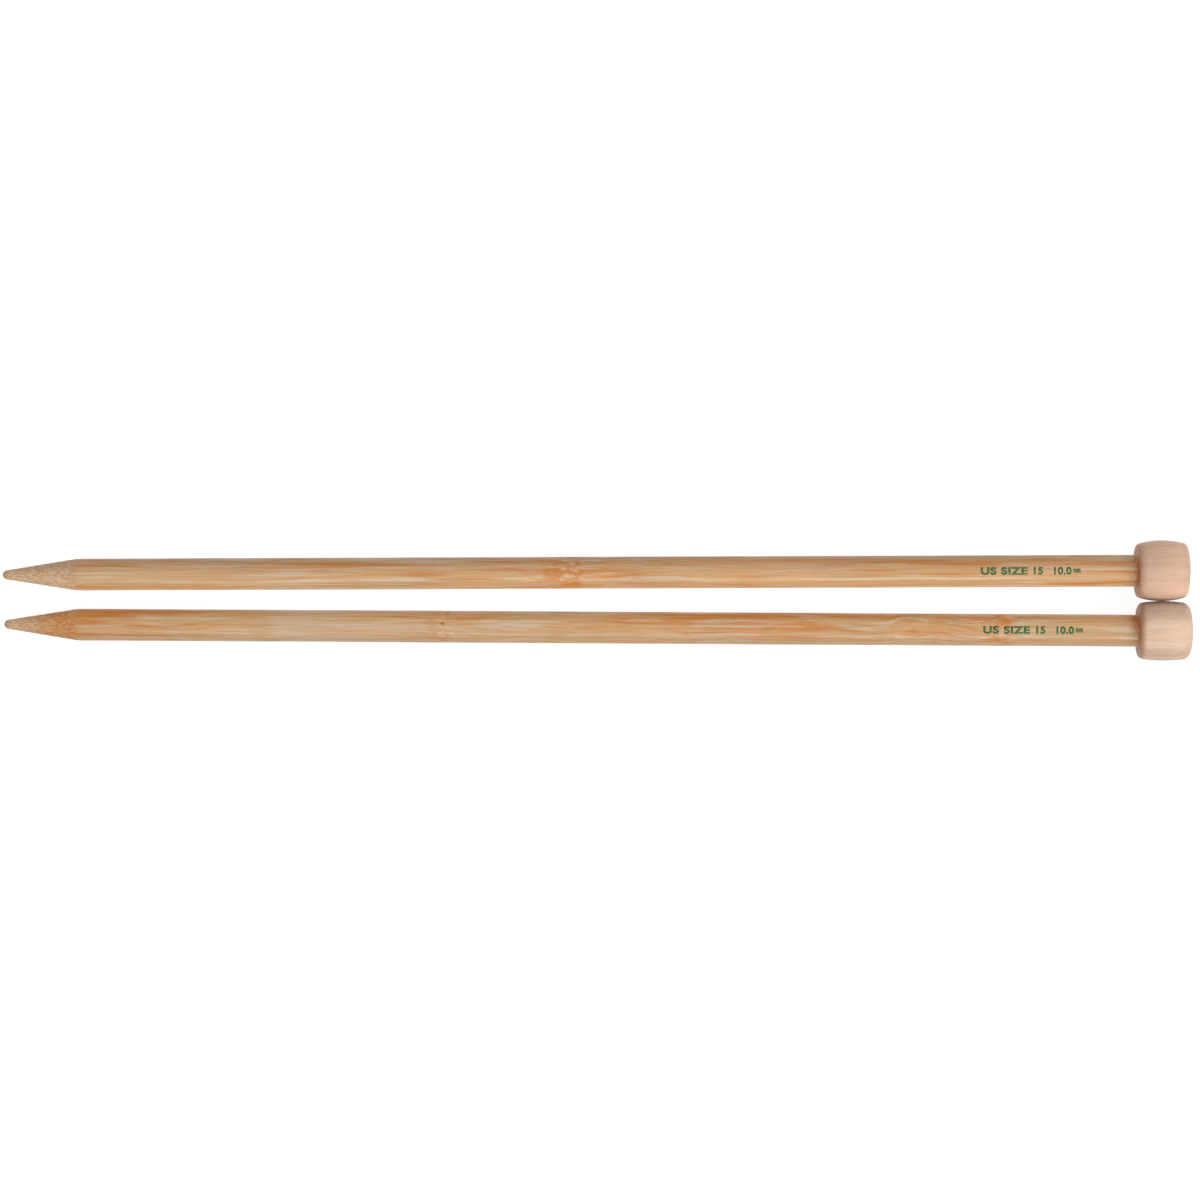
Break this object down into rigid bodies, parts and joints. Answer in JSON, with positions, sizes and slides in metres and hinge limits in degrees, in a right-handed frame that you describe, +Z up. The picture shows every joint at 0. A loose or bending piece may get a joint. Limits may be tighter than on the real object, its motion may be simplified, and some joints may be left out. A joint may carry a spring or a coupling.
{
  "type": "straight knitting needles",
  "caption": "Straight single-pointed bamboo knitting needles with tapered round-nosed points and glued-on turned wooden knobs, lying side by side on a table.",
  "frame": {"origin": "on the table, under the middle of the box that holds both needles", "axes": "+X along the needles from their points to their knobs, +Y from the left needle to the right needle, +Z up; the left and right hands are those of a knitter who holds both knobs with the points ahead"},
  "size_m": [0.373, 0.0374, 0.0188],
  "materials": {
    "bamboo": "satin, wax-polished, with long straight fibres and node marks",
    "knob_wood": "satin, turned and tumbled, fine pale grain",
    "glue": "clear amber, set hard"
  },
  "bodies": {
    "right_needle": {"right_needle_shaft": "bamboo", "right_needle_knob": "knob_wood", "right_needle_glue": "glue"},
    "left_needle": {"left_needle_shaft": "bamboo", "left_needle_knob": "knob_wood", "left_needle_glue": "glue"}
  },
  "joints": [
    {"name": "left_needle_slide", "type": "slide", "parent": "right_needle", "child": "left_needle", "axis": [1, -0.0046, 0], "range_m": [-0.37, 0.37]}
  ]
}
